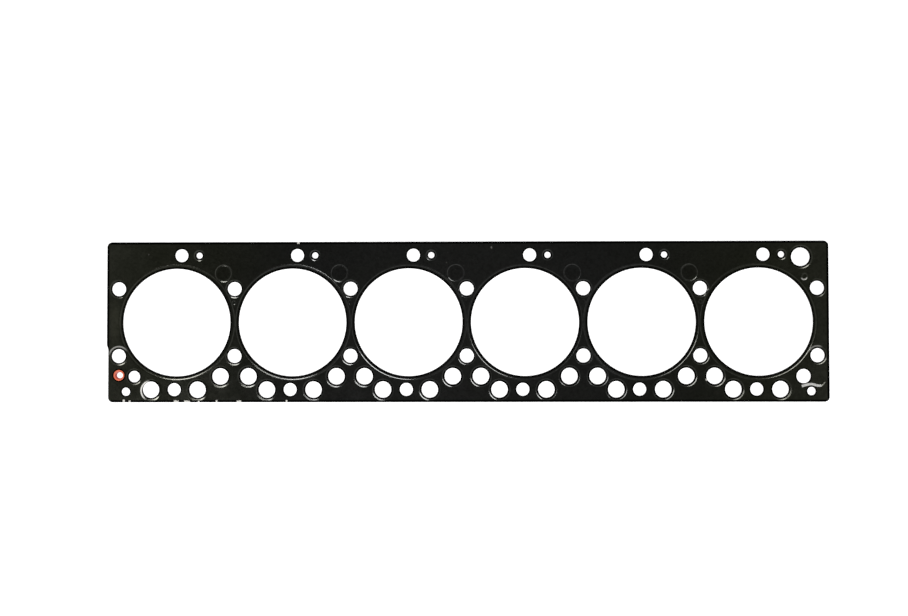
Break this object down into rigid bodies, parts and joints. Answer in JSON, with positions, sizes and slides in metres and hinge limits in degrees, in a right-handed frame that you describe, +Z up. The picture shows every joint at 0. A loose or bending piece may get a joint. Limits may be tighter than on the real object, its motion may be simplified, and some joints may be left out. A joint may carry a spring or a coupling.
{
  "type": "cylinder head gasket",
  "caption": "Flat coated-steel head gasket for an inline diesel engine: beaded cylinder bores, bolt holes, coolant and oil passages, and a moulded elastomer oil ring.",
  "frame": {"origin": "middle of the row of cylinder bores, on the underside that lies on the block", "axes": "+X along the row of cylinders, +Y towards the edge with the oil holes, +Z up to the cylinder head"},
  "size_m": [0.7444, 0.1655, 0.0019],
  "materials": {
    "coated_steel": "satin black coating over pressed steel",
    "elastomer": "moulded orange-red elastomer"
  },
  "bodies": {
    "root": {"gasket_sheet": "coated_steel", "oil_ring": "elastomer"}
  },
  "joints": []
}
